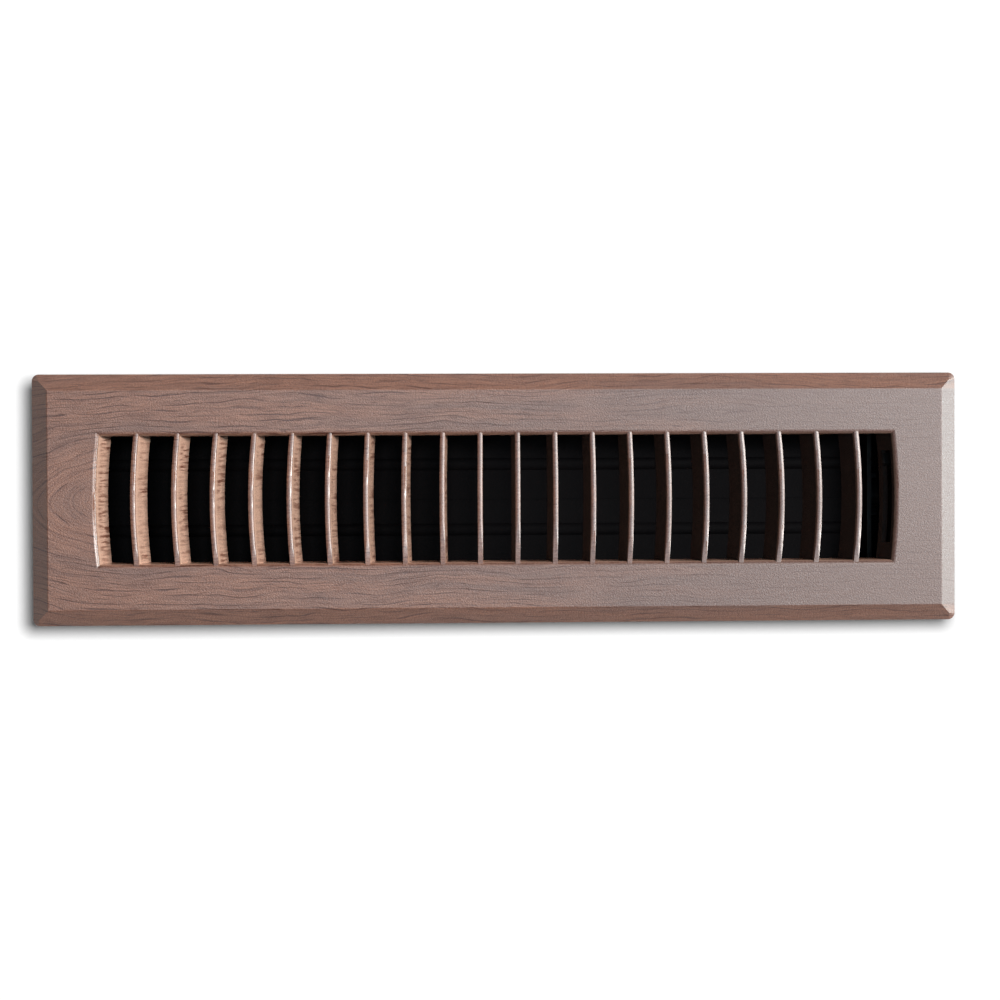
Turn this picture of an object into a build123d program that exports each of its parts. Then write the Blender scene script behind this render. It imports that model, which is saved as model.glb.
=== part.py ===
"""Plastic floor register for a 2 1/4 by 12 inch duct.

A moulded wood-look faceplate with bowed louvres that fan outwards, a black damper housing that snaps onto its
collar, two geared damper blades and a thumb lever.

Millimetres. The origin is the centre of the plane where the faceplate's rim sits on the floor.
+X runs along the register towards the lever end, +Y across it and +Z up out of the duct.
"""
from build123d import *
from math import acos, asin, atan, cos, degrees, pi, radians, sin, sqrt, tan
import os

# Faceplate rim and bevel
PLATE_LENGTH = 341.0
PLATE_WIDTH = 92.0
PLATE_HEIGHT = 6.2
EDGE_HEIGHT = 1.2
BEVEL_WIDTH = 5.8
CORNER_RADIUS = 2.5
TOP_EDGE_ROUND = 0.7
TOP_WALL = 2.2
RIM_SEAT = 2.0

# Louvres, counted from the middle of the plate: half a pitch, one and a half pitches and so on
LOUVRES_PER_SIDE = 10
WIDE_BAY_EXTRA = 0.9
LOUVRE_DEPTH = 12.0
LOUVRE_SINK = 0.1
LOUVRE_END_INSET = 0.1
LOUVRE_RIDGE = 1.7
RIDGE_CROWN = 0.18
LOUVRE_FOOT = 1.3
OUTERMOST_LEAN = 18.5
LEAN_POWER = 0.45
BOW_RADIUS = 212.0
FULL_BOW_PITCHES = 6.5

# Airway through the faceplate and the collar below it
END_BORDER = 23.5
SIDE_BORDER = 22.6
AIRWAY_EDGE_ROUND = 1.6
AIRWAY_DRAFT = 0.2
END_WALL_THICKNESS = 1.7
END_WALL_LEAN = 18.0
END_POCKET = 1.9
COLLAR_WALL = 1.6
COLLAR_DROP = 7.0

# Stiffening ribs under the faceplate
RIB_THICKNESS = 1.6
RIB_FLOOR_GAP = 0.6
RIB_PITCHES = 3
RIB_CLEARANCE = 0.5
END_RIB_OFFSET = 15.0

# Snap lugs on the collar and their windows in the housing
LUG_LENGTH = 12.0
LUG_HEIGHT = 3.0
LUG_PROUD = 1.3
LUG_TOP = -1.4
LUG_SPACING = 98.0
LUG_CLEARANCE = 0.3

# Damper housing
HOUSING_CLEARANCE = 0.15
HOUSING_WALL = 1.6
HOUSING_DROP = 44.0
HOUSING_CORNER_RADIUS = 1.5
HOUSING_LEAD_IN = 0.8
WEB_THICKNESS = 1.6
WEB_TO_END_WALL = 6.55
WEB_HEIGHT = 28.0
STOP_DEPTH = 1.3
STOP_HEIGHT = 1.4
STOP_CLEARANCE = 0.25

# Damper blades and their pivots
PIVOT_Z = -30.0
BLADE_EDGE_GAP = 0.45
BLADE_END_GAP = 0.4
BLADE_ROOT = 2.2
BLADE_EDGE = 1.2
BLADE_LAP = 1.0
LAP_GAP = 0.3
SPINE_RADIUS = 2.5
PIN_RADIUS = 1.5
RUNNING_CLEARANCE = 0.05
PIN_INSET = 0.15

# Gears between the thumb lever and the blades
GEAR_MODULE = 0.75
LEVER_TEETH = 21
BLADE_TEETH = 12
PRESSURE_ANGLE = 25.0
ADDENDUM = 0.8
DEDENDUM = 1.0
BACKLASH = 0.12
GEAR_WIDTH = 3.2
GEAR_SIDE_GAP = 0.35
TEETH_TO_SPARE = 1.2
BLADE_SWING = 90.0

# Thumb lever and its window in the end wall
ARM_THICKNESS = 1.6
ARM_WALL_GAP = 0.3
ARM_FOOT_WIDTH = 9.0
ARM_TIP_WIDTH = 4.4
TAB_RADIUS = 32.0
TAB_THICKNESS = 1.6
TAB_REACH = 3.65
TAB_CHAMFER = 0.5
WINDOW_LENGTH = 34.4
WINDOW_HEIGHT = 6.2
WINDOW_Z = 0.0

# Worked out from the values above
BEVEL_SLOPE = BEVEL_WIDTH / (PLATE_HEIGHT - EDGE_HEIGHT)
TOP_UNDERSIDE = PLATE_HEIGHT - TOP_WALL
AIRWAY_LENGTH = PLATE_LENGTH - 2 * END_BORDER
AIRWAY_WIDTH = PLATE_WIDTH - 2 * SIDE_BORDER
LOUVRE_PITCH = AIRWAY_LENGTH / (2 * LOUVRES_PER_SIDE + 1)
LOUVRE_TOP = PLATE_HEIGHT - LOUVRE_SINK
COLLAR_HALF_WIDTH = AIRWAY_WIDTH / 2 + COLLAR_WALL
COLLAR_HALF_LENGTH = AIRWAY_LENGTH / 2 + END_POCKET
LOUVRE_HALF_LENGTH = COLLAR_HALF_WIDTH - LOUVRE_END_INSET
HOUSING_HALF_WIDTH = COLLAR_HALF_WIDTH + HOUSING_CLEARANCE
HOUSING_HALF_LENGTH = COLLAR_HALF_LENGTH + HOUSING_CLEARANCE
WEB_X = HOUSING_HALF_LENGTH - WEB_TO_END_WALL - WEB_THICKNESS
ARM_X = HOUSING_HALF_LENGTH - ARM_WALL_GAP - ARM_THICKNESS
GEAR_X = ARM_X - GEAR_SIDE_GAP - GEAR_WIDTH
CENTRE_DISTANCE = GEAR_MODULE * (LEVER_TEETH + BLADE_TEETH) / 2
LEVER_SWING = BLADE_SWING * BLADE_TEETH / LEVER_TEETH


def louvre_x(pitches):
    """Distance of a louvre's ridge from the middle; the second bay from each end is a little wider."""
    wide = WIDE_BAY_EXTRA if pitches > LOUVRES_PER_SIDE - 1 else 0
    return pitches * LOUVRE_PITCH + wide


def block(x0, x1, y0, y1, z0, z1):
    """A box between two corners."""
    return Pos((x0 + x1) / 2, (y0 + y1) / 2, (z0 + z1) / 2) * Box(x1 - x0, y1 - y0, z1 - z0)


def rod(x0, x1, y, radius):
    """A round bar along X at the height of the damper pivots."""
    return extrude(Plane.YZ.offset(x0) * Pos(y, PIVOT_Z) * Circle(radius), x1 - x0)


def plate_shell():
    """The bevelled plate, hollow below, with the airway cut through its top wall."""
    foot = RectangleRounded(PLATE_LENGTH, PLATE_WIDTH, CORNER_RADIUS)
    bevel = extrude(Plane.XY.offset(EDGE_HEIGHT) * foot, PLATE_HEIGHT - EDGE_HEIGHT,
                    taper=degrees(atan(BEVEL_SLOPE)))
    outside = extrude(foot, EDGE_HEIGHT) + bevel
    outside = fillet(outside.faces().sort_by(Axis.Z)[-1].edges(), TOP_EDGE_ROUND)

    inner_length = PLATE_LENGTH - 2 * RIM_SEAT
    inner_width = PLATE_WIDTH - 2 * RIM_SEAT
    inset = 2 * TOP_UNDERSIDE * BEVEL_SLOPE
    ceiling = Plane.XY.offset(TOP_UNDERSIDE)
    hollow = loft([Rectangle(inner_length, inner_width),
                   ceiling * Rectangle(inner_length - inset, inner_width - inset)], ruled=True)
    shell = outside - hollow - extrude(ceiling * airway_outline(), TOP_WALL)
    mouth = shell.faces().sort_by(Axis.Z)[-1].inner_wires()[0]
    return fillet(mouth.edges(), AIRWAY_EDGE_ROUND)


def airway_outline():
    """The opening that the louvres stand in; its two ends bow outwards like the louvres."""
    half = AIRWAY_WIDTH / 2
    middle = AIRWAY_LENGTH / 2
    corner = middle - (BOW_RADIUS - sqrt(BOW_RADIUS ** 2 - half ** 2))
    return make_face([
        Line((-corner, half), (corner, half)),
        ThreePointArc((corner, half), (middle, 0), (corner, -half)),
        Line((corner, -half), (-corner, -half)),
        ThreePointArc((-corner, -half), (-middle, 0), (-corner, half)),
    ])


def louvre(side, pitches):
    """One louvre: a tapered blade with a crowned ridge that leans outwards and bows outwards in plan.

    side is 1 for the lever end and -1 for the other. Lean and bow both grow away from the middle.
    """
    ridge_x = side * louvre_x(pitches)
    lean = OUTERMOST_LEAN * (pitches / (LOUVRES_PER_SIDE - 0.5)) ** LEAN_POWER
    foot_x = ridge_x - side * LOUVRE_DEPTH * tan(radians(lean))
    bow = BOW_RADIUS / min(1, pitches / FULL_BOW_PITCHES)
    ridge, foot = LOUVRE_RIDGE / 2, LOUVRE_FOOT / 2
    shoulder_z, foot_z = LOUVRE_TOP - RIDGE_CROWN, LOUVRE_TOP - LOUVRE_DEPTH
    outline = [
        Line((foot_x - foot, foot_z), (foot_x + foot, foot_z)),
        Line((foot_x + foot, foot_z), (ridge_x + ridge, shoulder_z)),
        ThreePointArc((ridge_x + ridge, shoulder_z), (ridge_x, LOUVRE_TOP), (ridge_x - ridge, shoulder_z)),
        Line((ridge_x - ridge, shoulder_z), (foot_x - foot, foot_z)),
    ]
    return bowed(outline, ridge_x - side * bow, bow)


def end_wall(side):
    """The leaning wall at one end of the airway, below the rounded edge of the plate."""
    top_x = side * AIRWAY_LENGTH / 2
    top_z, foot_z = PLATE_HEIGHT - AIRWAY_EDGE_ROUND, LOUVRE_TOP - LOUVRE_DEPTH
    foot_x = top_x - side * (top_z - foot_z) * tan(radians(END_WALL_LEAN))
    back = side * END_WALL_THICKNESS
    outline = Polyline((top_x, top_z), (foot_x, foot_z), (foot_x + back, foot_z), (top_x + back, top_z),
                       close=True)
    return bowed(outline, top_x - side * BOW_RADIUS, BOW_RADIUS)


def bowed(outline, centre_x, radius):
    """An upright section in the XZ plane swept along an arc across the airway."""
    half_turn = degrees(asin(LOUVRE_HALF_LENGTH / radius))
    axis = Axis((centre_x, 0, 0), (0, 0, 1))
    section = Plane.XZ * make_face(outline)
    return revolve(section.rotate(axis, -half_turn), axis, 2 * half_turn)


def collar():
    """The short rectangular spout under the louvres, with wedge lugs along its long sides."""
    outside = block(-COLLAR_HALF_LENGTH, COLLAR_HALF_LENGTH, -COLLAR_HALF_WIDTH, COLLAR_HALF_WIDTH,
                    -COLLAR_DROP, TOP_UNDERSIDE)
    inner_length = 2 * (COLLAR_HALF_LENGTH - COLLAR_WALL)
    mouth = Plane.XY.offset(TOP_UNDERSIDE) * Rectangle(inner_length, AIRWAY_WIDTH)
    spout_end = Plane.XY.offset(-COLLAR_DROP) * Rectangle(inner_length, AIRWAY_WIDTH - 2 * AIRWAY_DRAFT)
    inside = loft([mouth, spout_end], ruled=True)
    spout = outside - inside
    wedge = make_face(Polyline((0, LUG_TOP - LUG_HEIGHT), (LUG_PROUD, LUG_TOP), (0, LUG_TOP), close=True))
    for side in (-1, 1):
        for x in (-LUG_SPACING, 0, LUG_SPACING):
            wall = Plane((x, side * COLLAR_HALF_WIDTH, 0), x_dir=(0, side, 0), z_dir=(side, 0, 0))
            spout += extrude(wall * wedge, LUG_LENGTH / 2, both=True)
    return spout


def ribs():
    """Upright ribs that stiffen the hollow rim, outside the space that the housing takes."""
    hollow_half_width = PLATE_WIDTH / 2 - RIM_SEAT
    hollow_half_length = PLATE_LENGTH / 2 - RIM_SEAT
    inner_y = HOUSING_HALF_WIDTH + HOUSING_WALL + RIB_CLEARANCE
    inner_x = HOUSING_HALF_LENGTH + HOUSING_WALL + RIB_CLEARANCE
    taper = BEVEL_SLOPE * RIB_FLOOR_GAP

    def rib(inner, outer):
        outline = Polyline((inner, TOP_UNDERSIDE), (inner, RIB_FLOOR_GAP), (outer - taper, RIB_FLOOR_GAP),
                           (outer - BEVEL_SLOPE * TOP_UNDERSIDE, TOP_UNDERSIDE), close=True)
        return extrude(make_face(outline), RIB_THICKNESS / 2, both=True)

    found = []
    step = RIB_PITCHES * LOUVRE_PITCH
    count = int(COLLAR_HALF_LENGTH / step)
    for side in (-1, 1):
        for k in range(-count, count + 1):
            found.append(Plane((k * step, 0, 0), x_dir=(0, side, 0), z_dir=(side, 0, 0))
                         * rib(inner_y, hollow_half_width))
        for y in (-END_RIB_OFFSET, END_RIB_OFFSET):
            found.append(Plane((0, y, 0), x_dir=(side, 0, 0), z_dir=(0, -side, 0))
                         * rib(inner_x, hollow_half_length))
    return found


def lever_window():
    """The slot in the lever-end wall, with the notch in the collar behind it that the arm swings in."""
    top, bottom = WINDOW_Z + WINDOW_HEIGHT / 2, WINDOW_Z - WINDOW_HEIGHT / 2
    half = WINDOW_LENGTH / 2
    slot = block(louvre_x(LOUVRES_PER_SIDE), COLLAR_HALF_LENGTH, -half, half, bottom, top)
    notch = block(COLLAR_HALF_LENGTH - COLLAR_WALL, COLLAR_HALF_LENGTH, -half, half, -COLLAR_DROP, top)
    return slot + notch


def faceplate():
    """The whole moulding: plate, collar, ribs and louvres in one piece."""
    louvres = [louvre(side, k + 0.5) for side in (-1, 1) for k in range(LOUVRES_PER_SIDE)]
    moulding = plate_shell().fuse(collar(), *ribs(), *louvres, end_wall(-1), end_wall(1))
    return moulding - lever_window()


def damper_housing():
    """The open sleeve that hangs in the duct, with bearing holes, a gear web and blade stops."""
    out_x, out_y = HOUSING_HALF_LENGTH + HOUSING_WALL, HOUSING_HALF_WIDTH + HOUSING_WALL
    sleeve = block(-out_x, out_x, -out_y, out_y, -HOUSING_DROP, TOP_UNDERSIDE)
    sleeve = fillet(sleeve.edges().filter_by(Axis.Z), HOUSING_CORNER_RADIUS)
    sleeve = chamfer(sleeve.faces().sort_by(Axis.Z)[0].edges(), HOUSING_LEAD_IN)
    sleeve -= block(-HOUSING_HALF_LENGTH, HOUSING_HALF_LENGTH, -HOUSING_HALF_WIDTH, HOUSING_HALF_WIDTH,
                    -HOUSING_DROP, TOP_UNDERSIDE)
    sleeve += block(WEB_X, WEB_X + WEB_THICKNESS, -HOUSING_HALF_WIDTH, HOUSING_HALF_WIDTH,
                    -HOUSING_DROP, WEB_HEIGHT - HOUSING_DROP)

    edge = HOUSING_HALF_WIDTH - STOP_DEPTH
    rest = BLADE_EDGE / 2 + STOP_CLEARANCE
    sleeve += block(-HOUSING_HALF_LENGTH, WEB_X, edge, HOUSING_HALF_WIDTH,
                    PIVOT_Z + rest, PIVOT_Z + rest + STOP_HEIGHT)
    sleeve += block(-HOUSING_HALF_LENGTH, WEB_X, -HOUSING_HALF_WIDTH, -edge,
                    PIVOT_Z - rest - STOP_HEIGHT, PIVOT_Z - rest)

    hole = PIN_RADIUS + RUNNING_CLEARANCE
    for y in (-CENTRE_DISTANCE, CENTRE_DISTANCE):
        sleeve -= rod(-out_x, -HOUSING_HALF_LENGTH, y, hole)
        sleeve -= rod(WEB_X, WEB_X + WEB_THICKNESS, y, SPINE_RADIUS + RUNNING_CLEARANCE)
        sleeve -= rod(HOUSING_HALF_LENGTH, out_x, y, hole)
    sleeve -= rod(WEB_X, out_x, 0, hole)

    half = LUG_LENGTH / 2 + LUG_CLEARANCE
    for side in (-1, 1):
        for x in (-LUG_SPACING, 0, LUG_SPACING):
            inner, outer = sorted((side * HOUSING_HALF_WIDTH, side * out_y))
            sleeve -= block(x - half, x + half, inner, outer,
                            LUG_TOP - LUG_HEIGHT - LUG_CLEARANCE, LUG_TOP + HOUSING_CLEARANCE)
    return sleeve


def gear(teeth, x0, y, first_tooth, mesh_angles, turn):
    """A toothed sector along X, with one tooth centred at the angle first_tooth.

    Angles go from +Y towards +Z. It has the teeth that pass the mesh_angles while it turns, and is plain
    elsewhere. The flanks run straight between two points of the involute, as in small moulded gears.
    """
    pitch_radius = GEAR_MODULE * teeth / 2
    base = pitch_radius * cos(radians(PRESSURE_ANGLE))
    tip = pitch_radius + ADDENDUM * GEAR_MODULE
    root = pitch_radius - DEDENDUM * GEAR_MODULE
    flank = max(base, root + BACKLASH)
    half_tooth = (pi * GEAR_MODULE - BACKLASH) / (4 * pitch_radius)

    def involute(radius):
        angle = acos(base / radius)
        return tan(angle) - angle

    def at(radius, angle):
        return (radius * cos(angle), radius * sin(angle))

    def half_angle(radius):
        return half_tooth + involute(pitch_radius) - involute(radius)

    step = 2 * pi / teeth

    def is_used(centre):
        spare = TEETH_TO_SPARE * step
        for mesh in mesh_angles:
            ahead = (centre - radians(mesh)) * (-1 if turn > 0 else 1)
            ahead = (ahead + pi) % (2 * pi) - pi
            if -spare <= ahead <= radians(abs(turn)) + spare:
                return True
        return False

    low, high = half_angle(flank), half_angle(tip)
    outline = []
    for k in range(teeth):
        centre = radians(first_tooth) + k * step
        if not is_used(centre):
            end = at(root, centre + step - low)
            outline.append(ThreePointArc(at(root, centre - low), at(root, centre), end))
            continue
        outline += [
            Line(at(root, centre - low), at(flank, centre - low)),
            Line(at(flank, centre - low), at(tip, centre - high)),
            Line(at(tip, centre - high), at(tip, centre + high)),
            Line(at(tip, centre + high), at(flank, centre + low)),
            Line(at(flank, centre + low), at(root, centre + low)),
            Line(at(root, centre + low), at(root, centre + step - low)),
        ]
    return extrude(Plane.YZ.offset(x0) * Pos(y, PIVOT_Z) * make_face(outline), GEAR_WIDTH)


def damper_blade(side):
    """One blade: a tapered vane on a round spine, with a gear and pins at its ends.

    side is 1 for the blade at +Y. Its inner edge laps over the other blade's, which laps under.
    """
    y = side * CENTRE_DISTANCE
    start, end = -HOUSING_HALF_LENGTH + BLADE_END_GAP, WEB_X - BLADE_END_GAP
    outer_edge = side * (HOUSING_HALF_WIDTH - BLADE_EDGE_GAP)
    inner_edge = side * (BLADE_LAP + LAP_GAP)
    root, edge = BLADE_ROOT / 2, BLADE_EDGE / 2
    vane = Polyline((inner_edge, -edge), (y, -root), (outer_edge, -edge),
                    (outer_edge, edge), (y, root), (inner_edge, edge), close=True)
    lip_low, lip_high = sorted((side * LAP_GAP / 2, side * edge))
    lip = Polyline((inner_edge, lip_low), (-side * BLADE_LAP, lip_low), (-side * BLADE_LAP, lip_high),
                   (inner_edge, lip_high), close=True)
    section = make_face(vane) + make_face(lip)
    vane_solid = extrude(Plane.YZ.offset(start) * Pos(0, PIVOT_Z) * section, end - start)

    first_tooth, mesh_angle = (180 / BLADE_TEETH, 180) if side > 0 else (0, 0)
    blade = vane_solid + rod(start, GEAR_X, y, SPINE_RADIUS)
    blade += gear(BLADE_TEETH, GEAR_X, y, first_tooth, [mesh_angle], -BLADE_SWING)
    pin_end = HOUSING_HALF_LENGTH + HOUSING_WALL - PIN_INSET
    return blade + rod(-pin_end, start, y, PIN_RADIUS) + rod(GEAR_X + GEAR_WIDTH, pin_end, y, PIN_RADIUS)


def thumb_lever():
    """The lever: a gear on a short axle, an arm up the end wall and a tab that shows in the window.

    It is modelled at the closed end of its swing, with the tab towards +Y.
    """
    tip = TAB_RADIUS + TAB_THICKNESS / 2
    arm_end = ARM_X + ARM_THICKNESS
    outline = Polyline((-ARM_FOOT_WIDTH / 2, 0), (ARM_FOOT_WIDTH / 2, 0), (ARM_TIP_WIDTH / 2, tip),
                       (-ARM_TIP_WIDTH / 2, tip), close=True)
    foot = Circle(ARM_FOOT_WIDTH / 2)
    arm = extrude(Plane.YZ.offset(ARM_X) * Pos(0, PIVOT_Z) * (make_face(outline) + foot), ARM_THICKNESS)
    nose = ARM_X - TAB_REACH
    tab = block(nose, ARM_X, -ARM_TIP_WIDTH / 2, ARM_TIP_WIDTH / 2,
                PIVOT_Z + tip - TAB_THICKNESS, PIVOT_Z + tip)
    tab = chamfer(tab.faces().sort_by(Axis.X)[0].edges(), TAB_CHAMFER)
    swung = (arm + tab).rotate(Axis((0, 0, PIVOT_Z), (1, 0, 0)), -LEVER_SWING / 2)

    pin_end = HOUSING_HALF_LENGTH + HOUSING_WALL - PIN_INSET
    axle = rod(WEB_X + PIN_INSET, GEAR_X, 0, PIN_RADIUS) + rod(arm_end, pin_end, 0, PIN_RADIUS)
    hub = rod(GEAR_X, ARM_X, 0, ARM_FOOT_WIDTH / 2)
    return swung + axle + hub + gear(LEVER_TEETH, GEAR_X, 0, 0, [0, 180], LEVER_SWING)


def main():
    os.makedirs("parts", exist_ok=True)
    nodes = {
        "faceplate": faceplate(),
        "damper_housing": damper_housing(),
        "rear_blade": damper_blade(1),
        "front_blade": damper_blade(-1),
        "thumb_lever": thumb_lever(),
    }
    for name, shape in nodes.items():
        export_step(shape, f"parts/{name}.step")


main()
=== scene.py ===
"""Looks of a plastic floor register: a walnut-film faceplate over a black damper, seen from above."""
import math

import bpy
from mathutils import Matrix, Vector


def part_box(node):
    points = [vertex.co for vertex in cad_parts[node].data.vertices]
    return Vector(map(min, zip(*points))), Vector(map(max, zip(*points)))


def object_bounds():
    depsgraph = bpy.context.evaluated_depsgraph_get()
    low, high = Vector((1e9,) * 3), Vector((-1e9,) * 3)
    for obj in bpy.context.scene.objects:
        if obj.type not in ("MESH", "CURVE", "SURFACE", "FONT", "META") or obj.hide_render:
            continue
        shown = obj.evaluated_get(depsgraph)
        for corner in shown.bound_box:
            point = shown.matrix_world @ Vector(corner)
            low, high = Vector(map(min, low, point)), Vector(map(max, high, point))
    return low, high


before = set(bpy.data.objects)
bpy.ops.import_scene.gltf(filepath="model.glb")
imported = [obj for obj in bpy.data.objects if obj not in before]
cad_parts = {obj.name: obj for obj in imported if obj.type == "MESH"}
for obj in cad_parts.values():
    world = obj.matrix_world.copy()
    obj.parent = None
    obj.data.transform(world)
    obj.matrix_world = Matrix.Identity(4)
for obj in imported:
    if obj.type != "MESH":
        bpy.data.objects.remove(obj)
cad_low, cad_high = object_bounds()
scene = bpy.context.scene
scene.view_settings.view_transform = "Standard"


# Damper housing
# An open sleeve moulded in black plastic that hangs in the duct. It snaps onto the faceplate's collar
# and carries the pivots of the blades and the lever in its end walls and web.
MM_PER_METRE = 1000.0
PEBBLE_DETAIL = 3.0
PEBBLE_ROUGHNESS = 0.65
PEBBLE_EDGE = (0.3, 0.7)
DUST_DETAIL = 4.0
DUST_ROUGHNESS = 0.6
DUST_EDGE = (0.35, 0.75)


def srgb(red, green, blue):
    """A colour given as 0 to 255 screen values, as the linear colour that shaders take."""
    def linear(value):
        value /= 255
        return value / 12.92 if value <= 0.04045 else ((value + 0.055) / 1.055) ** 2.4
    return (linear(red), linear(green), linear(blue), 1.0)


def add_node(tree, kind, inputs=None, **settings):
    """A shader node with its settings; each input is a plain value or the socket that feeds it."""
    made = tree.nodes.new(kind)
    for name, value in settings.items():
        setattr(made, name, value)
    for key, value in (inputs or {}).items():
        if isinstance(value, bpy.types.NodeSocket):
            tree.links.new(value, made.inputs[key])
        else:
            made.inputs[key].default_value = value
    return made


def calc(tree, operation, first, second=0.0, third=0.0):
    """The result of one step of arithmetic."""
    return add_node(tree, "ShaderNodeMath", {0: first, 1: second, 2: third}, operation=operation).outputs[0]


def ramp_up(tree, value, start, end, low=0.0, high=1.0):
    """A value that goes smoothly from low to high while the input goes from start to end."""
    made = add_node(tree, "ShaderNodeMapRange",
                    {"Value": value, "From Min": start, "From Max": end, "To Min": low, "To Max": high},
                    interpolation_type="SMOOTHSTEP")
    return made.outputs["Result"]


def blend_colour(tree, share, first, second):
    """A mix of two colours."""
    made = add_node(tree, "ShaderNodeMix", {0: share, 6: first, 7: second}, data_type="RGBA")
    return made.outputs[2]


def place_in_mm(tree):
    """Where a point of the surface lies, in millimetres."""
    place = add_node(tree, "ShaderNodeTexCoord").outputs["Object"]
    made = add_node(tree, "ShaderNodeVectorMath", {0: place, "Scale": MM_PER_METRE}, operation="SCALE")
    return made.outputs[0]


def noise(tree, place, fineness, detail, roughness=0.5):
    """Soft noise between 0 and 1, with its own fineness per millimetre along X, Y and Z."""
    stretched = add_node(tree, "ShaderNodeVectorMath", {0: place, 1: fineness}, operation="MULTIPLY")
    made = add_node(tree, "ShaderNodeTexNoise",
                    {"Vector": stretched.outputs[0], "Scale": 1.0, "Detail": detail, "Roughness": roughness})
    return made.outputs["Fac"]


def moulded_pebble():
    """Shared effect: the fine pebbled skin that a sand-blasted mould leaves on plastic."""
    tree = bpy.data.node_groups.new("moulded_pebble", "ShaderNodeTree")
    tree.interface.new_socket("Grain Size", in_out="INPUT", socket_type="NodeSocketFloat")
    tree.interface.new_socket("Height", in_out="OUTPUT", socket_type="NodeSocketFloat")
    given = tree.nodes.new("NodeGroupInput")
    result = tree.nodes.new("NodeGroupOutput")
    fineness = calc(tree, "DIVIDE", 1.0, given.outputs["Grain Size"])
    grains = noise(tree, place_in_mm(tree), fineness, PEBBLE_DETAIL, PEBBLE_ROUGHNESS)
    tree.links.new(ramp_up(tree, grains, *PEBBLE_EDGE), result.inputs["Height"])
    return tree


def pebbled_height(tree, grain_size):
    """The shared pebbled skin placed in a material, with its own grain size in millimetres."""
    made = tree.nodes.new("ShaderNodeGroup")
    made.node_tree = PEBBLE
    made.inputs["Grain Size"].default_value = grain_size
    return made.outputs["Height"]


def new_material(name):
    """A material with its node tree and Principled shader."""
    made = bpy.data.materials.new(name)
    made.use_nodes = True
    return made, made.node_tree, made.node_tree.nodes["Principled BSDF"]


def add_relief(tree, shader, height, strength, depth):
    """Lets a height pattern shape the surface's shading; the depth is in metres."""
    bump = add_node(tree, "ShaderNodeBump", {"Height": height, "Strength": strength, "Distance": depth})
    tree.links.new(bump.outputs["Normal"], shader.inputs["Normal"])


def black_moulding(name, tints, shine, dust_fineness, grain_size, strength, depth, specular):
    """Black moulded plastic with a pebbled skin; tints and shine (roughness) go from clean to dusty."""
    made, tree, shader = new_material(name)
    dust = noise(tree, place_in_mm(tree), dust_fineness, DUST_DETAIL, DUST_ROUGHNESS)
    dust = ramp_up(tree, dust, *DUST_EDGE)
    tree.links.new(blend_colour(tree, dust, *tints), shader.inputs["Base Color"])
    tree.links.new(ramp_up(tree, dust, 0.0, 1.0, *shine), shader.inputs["Roughness"])
    add_relief(tree, shader, pebbled_height(tree, grain_size), strength, depth)
    shader.inputs["Specular IOR Level"].default_value = specular
    return made


def dress(node, material):
    """Gives a CAD node its material."""
    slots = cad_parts[node].data.materials
    slots.clear()
    slots.append(material)


PEBBLE = moulded_pebble()
black_plastic = black_moulding("black_plastic", tints=(srgb(17, 17, 18), srgb(27, 26, 27)),
                               shine=(0.42, 0.58), dust_fineness=(0.05, 0.05, 0.05), grain_size=0.5,
                               strength=0.25, depth=0.00004, specular=0.2)
dress("damper_housing", black_plastic)


# Damper blades
# Two tapered vanes moulded in a matt black plastic, with gear teeth on their ends. Their pins turn in
# the housing, and their inner edges lap over each other when the damper is shut.
matt_black = black_moulding("matt_black", tints=(srgb(13, 12, 14), srgb(18, 17, 19)),
                            shine=(0.72, 0.85), dust_fineness=(0.02, 0.06, 0.06), grain_size=0.9,
                            strength=0.4, depth=0.00008, specular=0.08)
dress("rear_blade", matt_black)
dress("front_blade", matt_black)


# Thumb lever
# A black arm on a toothed hub. Its tab stands behind the window in the faceplate's end wall, where a
# fingertip pushes it along to turn both blades.
dress("thumb_lever", black_plastic)


# Faceplate
# One moulding in plastic: rim, louvres and collar together. A printed walnut film covers its face and is
# drawn down over the louvres, where it stretches and its grain turns into short streaks.
FACE_Z = 6.2
BEVEL_Y = 40.0
AIRWAY_HALF = (149.0, 24.2)
RIM_HALF = (169.0, 44.5)
FILM_LINE = srgb(78, 38, 25)
FILM_DETAIL = 3.0
FIBRE_ROUGHNESS = 0.6


def times(tree, first, *others):
    """Several values multiplied, such as masks that all have to hold."""
    for other in others:
        first = calc(tree, "MULTIPLY", first, other)
    return first


def largest(tree, first, *others):
    """The largest of several values, such as masks of which one is enough."""
    for other in others:
        first = calc(tree, "MAXIMUM", first, other)
    return first


def inverse(tree, mask):
    """The opposite of a mask."""
    return calc(tree, "SUBTRACT", 1.0, mask)


def length_of(tree, vector):
    """How long a vector is."""
    return add_node(tree, "ShaderNodeVectorMath", {0: vector}, operation="LENGTH").outputs["Value"]


def within(tree, x, y, half):
    """A mask of the rectangle about the middle that has these half sides."""
    in_length = calc(tree, "LESS_THAN", calc(tree, "ABSOLUTE", x), half[0])
    in_width = calc(tree, "LESS_THAN", calc(tree, "ABSOLUTE", y), half[1])
    return times(tree, in_length, in_width)


walnut_film, tree, shader = new_material("walnut_film")
place = place_in_mm(tree)
x, y, z = add_node(tree, "ShaderNodeSeparateXYZ", {0: place}).outputs

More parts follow.
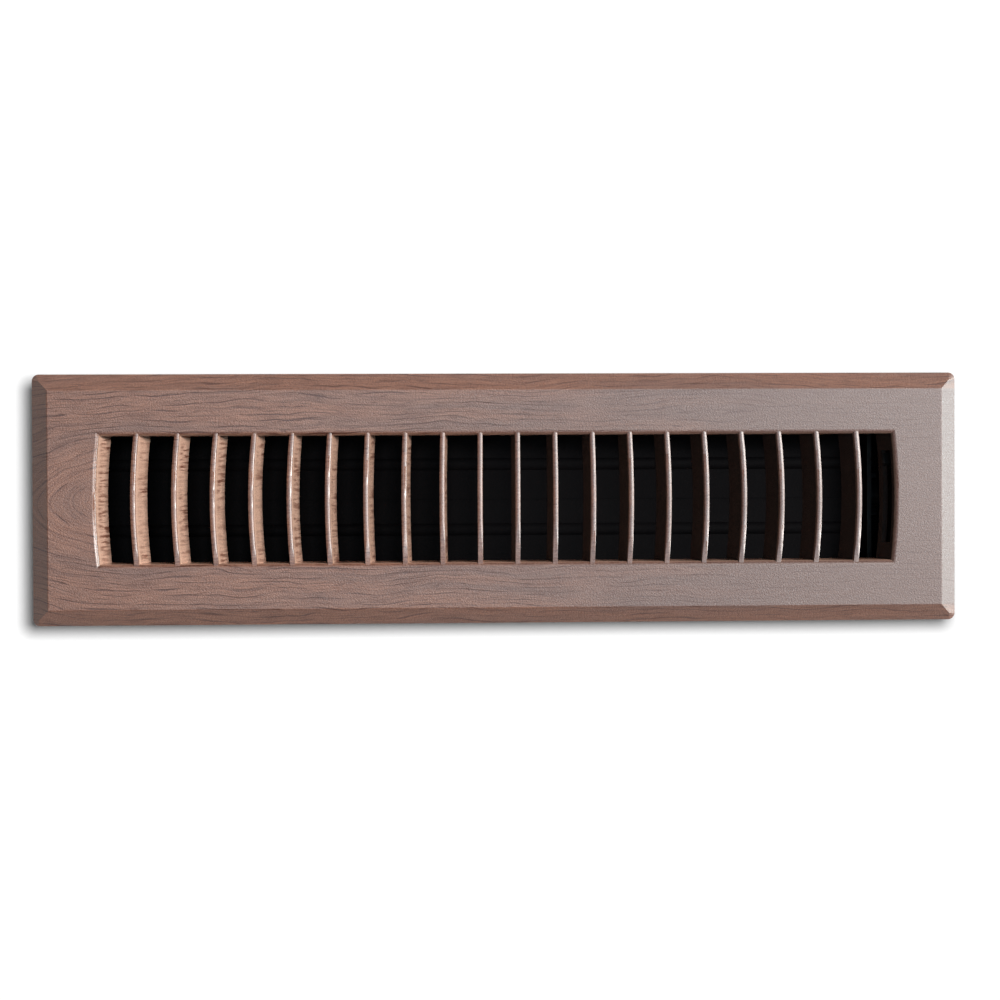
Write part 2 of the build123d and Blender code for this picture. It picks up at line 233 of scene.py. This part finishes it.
# The grain sways along the plate and closes in a flat arch at the left end.
APEX_X = -128.0
APEX_STRETCH = 0.4
SWAY_WIDTH = 13.0
SWAY_FINENESS = (0.014, 0.035, 0.0)
sway = calc(tree, "SUBTRACT", noise(tree, place, SWAY_FINENESS, FILM_DETAIL), 0.5)
across = calc(tree, "MULTIPLY_ADD", sway, SWAY_WIDTH, y)
past_apex = largest(tree, calc(tree, "SUBTRACT", APEX_X, x), 0.0)
past_apex = times(tree, past_apex, APEX_STRETCH)
ring = length_of(tree, add_node(tree, "ShaderNodeCombineXYZ", {0: past_apex, 1: across}).outputs[0])
grain = add_node(tree, "ShaderNodeCombineXYZ", {0: x, 1: ring}).outputs[0]

# Broad bands of redder and greyer brown, which are print. The face also gets greyer towards the lever end:
# that is painted sheen, the haze of lamp light on the lacquer there, and the long bevels are kept out of it.
FILM_RED = srgb(153, 107, 87)
FILM_GREY = srgb(121, 94, 86)
BAND_FINENESS = (0.012, 0.14, 0.0)
BAND_EDGE = (0.22, 0.84)
FACE_PAINTED_SHEEN = (-120.0, 170.0, -0.12, 0.4)
BEVEL_REDDENING = (-120.0, 170.0, 0.1, 0.6)
BEVEL_SHARE = (BEVEL_Y - 0.5, BEVEL_Y + 0.5, 0.0, 0.8)
on_bevel = ramp_up(tree, calc(tree, "ABSOLUTE", y), *BEVEL_SHARE)
reddening = times(tree, on_bevel, ramp_up(tree, x, *BEVEL_REDDENING))
# Painted sheen: the face is greyed towards the lever end, as lamp haze on the lacquer would grey it.
painted_sheen = calc(tree, "SUBTRACT", ramp_up(tree, x, *FACE_PAINTED_SHEEN), reddening)
bands_and_painted_sheen = calc(tree, "ADD", noise(tree, grain, BAND_FINENESS, FILM_DETAIL), painted_sheen)
film = blend_colour(tree, ramp_up(tree, bands_and_painted_sheen, *BAND_EDGE), FILM_RED, FILM_GREY)

# Fine dark fibres along the bands, weaker in the heart of the arch. On the face they also fade towards the
# lever end: painted sheen, as if lamp haze on the lacquer washed them out there.
SHEEN_FADING = (-60.0, 150.0, 1.0, 0.36)
FIBRE_FINENESS = (0.08, 1.8, 0.0)
FIBRE_EDGE = (0.3, 0.7)
FIBRE_HEART = (6.0, 26.0, 0.35, 0.55)
sheen_fade = largest(tree, ramp_up(tree, x, *SHEEN_FADING), on_bevel)
fibres = ramp_up(tree, noise(tree, grain, FIBRE_FINENESS, FILM_DETAIL, FIBRE_ROUGHNESS), *FIBRE_EDGE)
fibres = times(tree, fibres, sheen_fade, ramp_up(tree, ring, *FIBRE_HEART))
film = blend_colour(tree, fibres, film, FILM_LINE)

# The pits of the pebbled skin are darker than its tips: painted shade in the pits, which gives the speckle
# of glints on the tips.
FILM_PEBBLE = 0.62
PIT_SHADE_EDGE = (0.75, 0.05, 0.0, 0.3)
skin = pebbled_height(tree, FILM_PEBBLE)
film = blend_colour(tree, ramp_up(tree, skin, *PIT_SHADE_EDGE), film, FILM_LINE)

# Thin wavy lines that come and go, and short dark pores.
LINE_SPACING = 1.9
LINE_WANDER = 2.0
WANDER_FINENESS = (0.04, 0.16, 0.0)
LINE_EDGE = (0.62, 1.0)
SHOWN_FINENESS = (0.045, 0.45, 0.0)
SHOWN_EDGE = (0.40, 0.62)
SHOWN_HEART = (6.0, 26.0, 0.2, 1.0)
PORE_FINENESS = (0.16, 2.0, 0.0)
PORE_DETAIL = 2.0
PORE_EDGE = (0.58, 0.72)
PORE_WEIGHT = 0.75
wander = noise(tree, grain, WANDER_FINENESS, FILM_DETAIL)
turns = calc(tree, "MULTIPLY_ADD", wander, LINE_WANDER, calc(tree, "DIVIDE", ring, LINE_SPACING))
wave = calc(tree, "SINE", times(tree, turns, 2 * math.pi))
shown = ramp_up(tree, noise(tree, grain, SHOWN_FINENESS, FILM_DETAIL), *SHOWN_EDGE)
shown = times(tree, shown, ramp_up(tree, ring, *SHOWN_HEART))
lines = times(tree, ramp_up(tree, wave, *LINE_EDGE), shown)
pores = ramp_up(tree, noise(tree, grain, PORE_FINENESS, PORE_DETAIL), *PORE_EDGE)
# The painted sheen fades the lines and pores towards the lever end too.
marks = times(tree, calc(tree, "MULTIPLY_ADD", pores, PORE_WEIGHT, lines), sheen_fade)
film = blend_colour(tree, marks, film, FILM_LINE)

# Film that is drawn down into the airway is paler, partly as stretched film and partly as painted light: the
# louvre faces are made brighter than the lamps light them. Its grain is pulled into clusters of streaks.
PALE_FILM_AND_PAINTED_LIGHT = srgb(224, 182, 159)
DRAWN_STREAK = srgb(126, 78, 61)
DRAWN_DEPTH = (FACE_Z - 0.3, FACE_Z - 1.8)
STREAK_FINENESS = (0.13, 0.95, 0.08)
STREAK_EDGE = (0.44, 0.62)
STREAK_DEPTH = (FACE_Z - 1.8, FACE_Z - 5.0, 0.15, 1.0)
CLUSTER_FINENESS = (0.06, 0.10, 0.0)
CLUSTER_DETAIL = 2.0
CLUSTER_EDGE = (0.36, 0.6, 0.3, 0.95)
in_airway = within(tree, x, y, AIRWAY_HALF)
drawn = times(tree, in_airway, ramp_up(tree, z, *DRAWN_DEPTH))
streaks = noise(tree, place, STREAK_FINENESS, FILM_DETAIL, FIBRE_ROUGHNESS)
streaks = times(tree, ramp_up(tree, streaks, *STREAK_EDGE), ramp_up(tree, z, *STREAK_DEPTH))
clusters = ramp_up(tree, noise(tree, place, CLUSTER_FINENESS, CLUSTER_DETAIL), *CLUSTER_EDGE)
drawn_film_and_painted_light = blend_colour(tree, times(tree, streaks, clusters), PALE_FILM_AND_PAINTED_LIGHT, DRAWN_STREAK)
film = blend_colour(tree, drawn, film, drawn_film_and_painted_light)

# The underside with its ribs, the collar and the window's sill are bare plastic. The sides of the louvres
# that face left, away from the lamps, take the same dark colour as painted shade, from a little way past
# each ridge.
BARE_PLASTIC_AND_PAINTED_SHADE = srgb(44, 33, 30)
FACES_DOWN = -0.6
FACES_SIDEWAYS = 0.2
FACES_UP = 0.6
FACES_LEFT = (-0.35, -0.75)
BELOW_RIM = -0.1
normal = add_node(tree, "ShaderNodeNewGeometry").outputs["True Normal"]
facing = add_node(tree, "ShaderNodeSeparateXYZ", {0: normal})
normal_x = facing.outputs["X"]
normal_z = facing.outputs["Z"]
under = calc(tree, "LESS_THAN", normal_z, FACES_DOWN)
ribs = times(tree, within(tree, x, y, RIM_HALF), calc(tree, "LESS_THAN", normal_z, FACES_SIDEWAYS))
hidden = largest(tree, ribs, calc(tree, "LESS_THAN", z, BELOW_RIM))
hidden = times(tree, hidden, inverse(tree, in_airway))
# Painted shade: the louvre sides that face left, away from the lamps, are darkened to the bare plastic
# colour.
painted_shade_left_sides = times(tree, ramp_up(tree, normal_x, *FACES_LEFT), drawn)
sill = times(tree, calc(tree, "GREATER_THAN", normal_z, FACES_UP), drawn)
bare_or_painted_shade = largest(tree, under, hidden, painted_shade_left_sides, sill)
film = blend_colour(tree, bare_or_painted_shade, film, BARE_PLASTIC_AND_PAINTED_SHADE)
tree.links.new(film, shader.inputs["Base Color"])

# A clear lacquer lies on the film. The pebbled skin is pulled smooth where the film goes over an edge.
EDGE_DROP = 0.05
SKIN_SHINE = (0.36, 0.46)
SMOOTHER = -0.14
DULLER = 0.4
MARK_DEPTH = -0.5
SMOOTHED_HEIGHT = 0.05
RELIEF_STRENGTH = 0.9
RELIEF_DEPTH = 0.00014
FILM_SPECULAR = 0.5
LACQUER_ROUGHNESS = 0.36
below_face = calc(tree, "LESS_THAN", z, FACE_Z - EDGE_DROP)
over_edge = times(tree, in_airway, below_face, inverse(tree, bare_or_painted_shade))
rough = ramp_up(tree, skin, 0.0, 1.0, *SKIN_SHINE)
rough = calc(tree, "MULTIPLY_ADD", over_edge, SMOOTHER, rough)
rough = calc(tree, "MULTIPLY_ADD", bare_or_painted_shade, DULLER, rough)
tree.links.new(rough, shader.inputs["Roughness"])
height = calc(tree, "MULTIPLY_ADD", marks, MARK_DEPTH, skin)
height = times(tree, height, ramp_up(tree, over_edge, 0.0, 1.0, 1.0, SMOOTHED_HEIGHT))
add_relief(tree, shader, height, RELIEF_STRENGTH, RELIEF_DEPTH)
tree.links.new(ramp_up(tree, bare_or_painted_shade, 0.0, 1.0, 1.0, 0.0), shader.inputs["Coat Weight"])
shader.inputs["Coat Roughness"].default_value = LACQUER_ROUGHNESS
shader.inputs["Specular IOR Level"].default_value = FILM_SPECULAR
dress("faceplate", walnut_film)


# Floor
# A plain white sheet that the housing stands on. It is white to the camera and in reflections, but throws
# little light back. It glows more with distance, so that only the shadow near the register shows.
FLOOR_HALF_SIZE = 4.0
FLOOR_WHITE = (0.9, 0.9, 0.9, 1.0)
FLOOR_GREY = (0.08, 0.08, 0.08, 1.0)
MATT = 0.9
WHITENING = (0.12, 0.8, 0.05, 1.0)


def flat_sheet(name, half_length, half_width, height, material):
    """A level rectangle about the middle that isn't part of the register."""
    mesh = bpy.data.meshes.new(name)
    signs = ((-1, -1), (1, -1), (1, 1), (-1, 1))
    corners = [(sign_x * half_length, sign_y * half_width, height) for sign_x, sign_y in signs]
    mesh.from_pydata(corners, [], [(0, 1, 2, 3)])
    mesh.materials.append(material)
    sheet = bpy.data.objects.new(name, mesh)
    scene.collection.objects.link(sheet)
    return sheet


floor_white, tree, shader = new_material("floor_white")
shader.inputs["Roughness"].default_value = MATT
shader.inputs["Specular IOR Level"].default_value = 0.0
rays = add_node(tree, "ShaderNodeLightPath").outputs
shade = blend_colour(tree, rays["Is Diffuse Ray"], FLOOR_WHITE, FLOOR_GREY)
tree.links.new(shade, shader.inputs["Base Color"])
seen = largest(tree, rays["Is Camera Ray"], rays["Is Glossy Ray"], rays["Is Transmission Ray"])
distance = length_of(tree, add_node(tree, "ShaderNodeTexCoord").outputs["Object"])
far_white = times(tree, seen, ramp_up(tree, distance, *WHITENING))
glow = add_node(tree, "ShaderNodeEmission", {"Color": FLOOR_WHITE, "Strength": far_white})
both = add_node(tree, "ShaderNodeAddShader", {0: shader.outputs[0], 1: glow.outputs[0]})
tree.links.new(both.outputs[0], tree.nodes["Material Output"].inputs["Surface"])
floor = flat_sheet("floor", FLOOR_HALF_SIZE, FLOOR_HALF_SIZE, cad_low.z, floor_white)


# Duct shade
# A dark sheet of painted shade in place of a duct's opening. It lies just above the floor, inside the
# lower edge of the housing, and is seen only between the blades.
PAINTED_SHADE_BLACK = srgb(12, 12, 13)
SHADE_SHEET_INSET = 0.001
SHADE_SHEET_LIFT = 0.0003
duct_painted_shade, tree, shader = new_material("duct_painted_shade")
shader.inputs["Base Color"].default_value = PAINTED_SHADE_BLACK
shader.inputs["Roughness"].default_value = MATT
shader.inputs["Specular IOR Level"].default_value = 0.0
housing_low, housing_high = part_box("damper_housing")
housing_size = housing_high - housing_low
flat_sheet("painted_shade_sheet", housing_size.x / 2 - SHADE_SHEET_INSET, housing_size.y / 2 - SHADE_SHEET_INSET,
           cad_low.z + SHADE_SHEET_LIFT, duct_painted_shade)


# Light
# A tall narrow lamp high on the right, two dim cool lamps overhead for the haze on the lacquer, a low panel
# on the right for the sheen of the bevel, and a dim room. A disc above the plate lights the floor alone.
WARM = (1.0, 0.97, 0.94)
COOL = (0.56, 0.84, 1.0)
BLUISH = (0.40, 0.80, 1.0)
DAYLIGHT = (0.74, 0.92, 0.94)
WHITE = (1.0, 1.0, 1.0)
ROOM_LIGHT = 0.05
ROOM_SEEN = 1.0
DISC_SIZE = 0.16
MIDDLE = (0.0, 0.0, 0.0)


def light_group(name, state):
    """A set that holds the floor, for lamps that light it alone or leave it out."""
    made = bpy.data.collections.new(name)
    made.objects.link(floor)
    made.collection_objects[0].light_linking.link_state = state
    return made


def add_lamp(name, place, aim, power, tint, group):
    """An area lamp that faces a point and lights one group."""
    data = bpy.data.lights.new(name, "AREA")
    data.energy = power
    data.color = tint
    lamp = bpy.data.objects.new(name, data)
    lamp.location = place
    lamp.rotation_euler = (Vector(aim) - Vector(place)).to_track_quat("-Z", "Y").to_euler()
    lamp.light_linking.receiver_collection = group
    lamp.visible_camera = False
    scene.collection.objects.link(lamp)
    return data


def soft_lamp(name, place, aim, width, height, power, tint):
    """A rectangular lamp for the register."""
    data = add_lamp(name, place, aim, power, tint, REGISTER_LIGHT)
    data.shape = "RECTANGLE"
    data.size = width
    data.size_y = height


REGISTER_LIGHT = light_group("register_light", "EXCLUDE")
FLOOR_LIGHT = light_group("floor_light", "INCLUDE")
soft_lamp("key_lamp", place=(3.13, 0.92, 4.05), aim=MIDDLE, width=0.7, height=3.0, power=378.0, tint=WARM)
soft_lamp("sheen_lamp", place=(0.82, 0.14, 2.67), aim=MIDDLE, width=0.6, height=0.8, power=5.7, tint=BLUISH)
soft_lamp("overhead_panel", place=(-0.14, 0.10, 2.70), aim=MIDDLE, width=0.9, height=0.9, power=5.0,
          tint=COOL)
soft_lamp("low_panel", place=(2.40, 0.25, 0.30), aim=(0.15, 0.0, 0.0), width=1.0, height=0.6, power=44.0,
          tint=DAYLIGHT)
floor_lamp = add_lamp("floor_lamp", place=(0.0, 0.072, 0.976), aim=(0.0, 0.072, 0.0), power=11.8, tint=WHITE,
                      group=FLOOR_LIGHT)
floor_lamp.shape = "DISK"
floor_lamp.size = DISC_SIZE
scene.world = bpy.data.worlds.new("room")
scene.world.use_nodes = True
tree = scene.world.node_tree
room = tree.nodes["Background"]
room.inputs["Color"].default_value = (*WHITE, 1.0)
camera_ray = add_node(tree, "ShaderNodeLightPath").outputs["Is Camera Ray"]
tree.links.new(ramp_up(tree, camera_ray, 0.0, 1.0, ROOM_LIGHT, ROOM_SEEN), room.inputs["Strength"])


# Camera
# It looks straight down at the face from a metre away, a little left of the middle, as the photograph does.
CAMERA_PLACE = Vector((-0.0655, 0.0202, 1.048))
CAMERA_AIM = Vector((0.00073, -0.00069, 0.0))
CAMERA_ROLL = math.radians(-0.218)
CAMERA_FIELD = math.radians(19.957)
CAMERA_REACH = 20.0
UP_IN_PICTURE = Vector((0.0, 1.0, 0.0))
lens = bpy.data.cameras.new("camera")
lens.sensor_fit = "HORIZONTAL"
lens.angle = CAMERA_FIELD
lens.clip_end = CAMERA_REACH
camera = bpy.data.objects.new("camera", lens)
scene.collection.objects.link(camera)
ahead = (CAMERA_AIM - CAMERA_PLACE).normalized()
right = ahead.cross(UP_IN_PICTURE).normalized()
level = Matrix((right, right.cross(ahead), -ahead)).transposed()
rolled = level @ Matrix.Rotation(CAMERA_ROLL, 3, "Z")
camera.matrix_world = Matrix.Translation(CAMERA_PLACE) @ rolled.to_4x4()
scene.camera = camera
